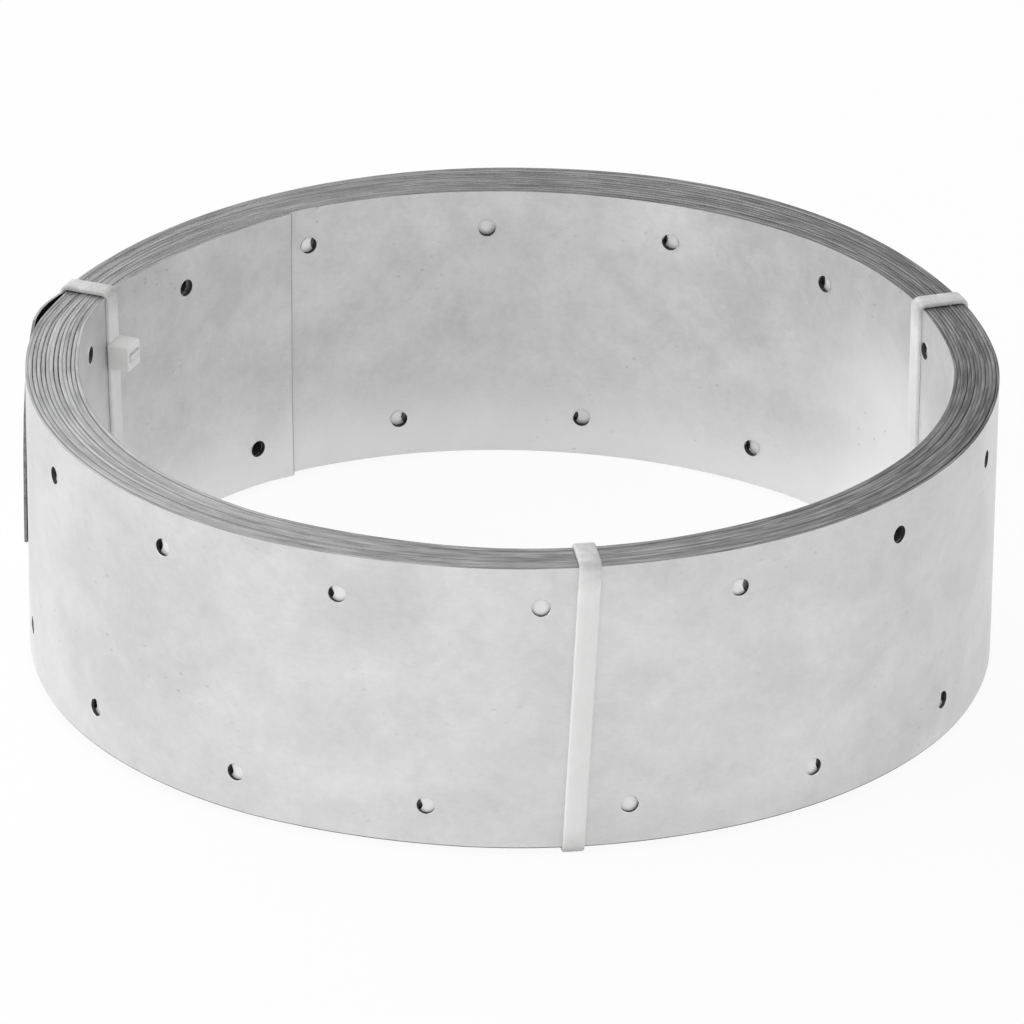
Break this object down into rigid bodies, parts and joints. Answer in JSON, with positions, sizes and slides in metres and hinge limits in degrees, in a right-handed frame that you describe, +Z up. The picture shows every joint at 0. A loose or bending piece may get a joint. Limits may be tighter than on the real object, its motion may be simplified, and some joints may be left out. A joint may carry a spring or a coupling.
{
  "type": "perforated steel strap coil",
  "caption": "Coil of galvanised perforated steel strap standing on its edge, with two staggered rows of punched holes and white cable ties around it.",
  "frame": {"origin": "on the coil's axis, at the floor under the ties", "axes": "+Z up along the coil's axis, -Y towards the front of the coil, the strap winds outwards anticlockwise seen from above"},
  "size_m": [0.1643, 0.1633, 0.0518],
  "materials": {
    "galvanised_steel": "dull zinc coat with soft spangle",
    "nylon": "natural nylon, satin"
  },
  "bodies": {
    "root": {"strap": "galvanised_steel", "tie_front": "nylon", "tie_left": "nylon", "tie_right": "nylon"}
  },
  "joints": []
}
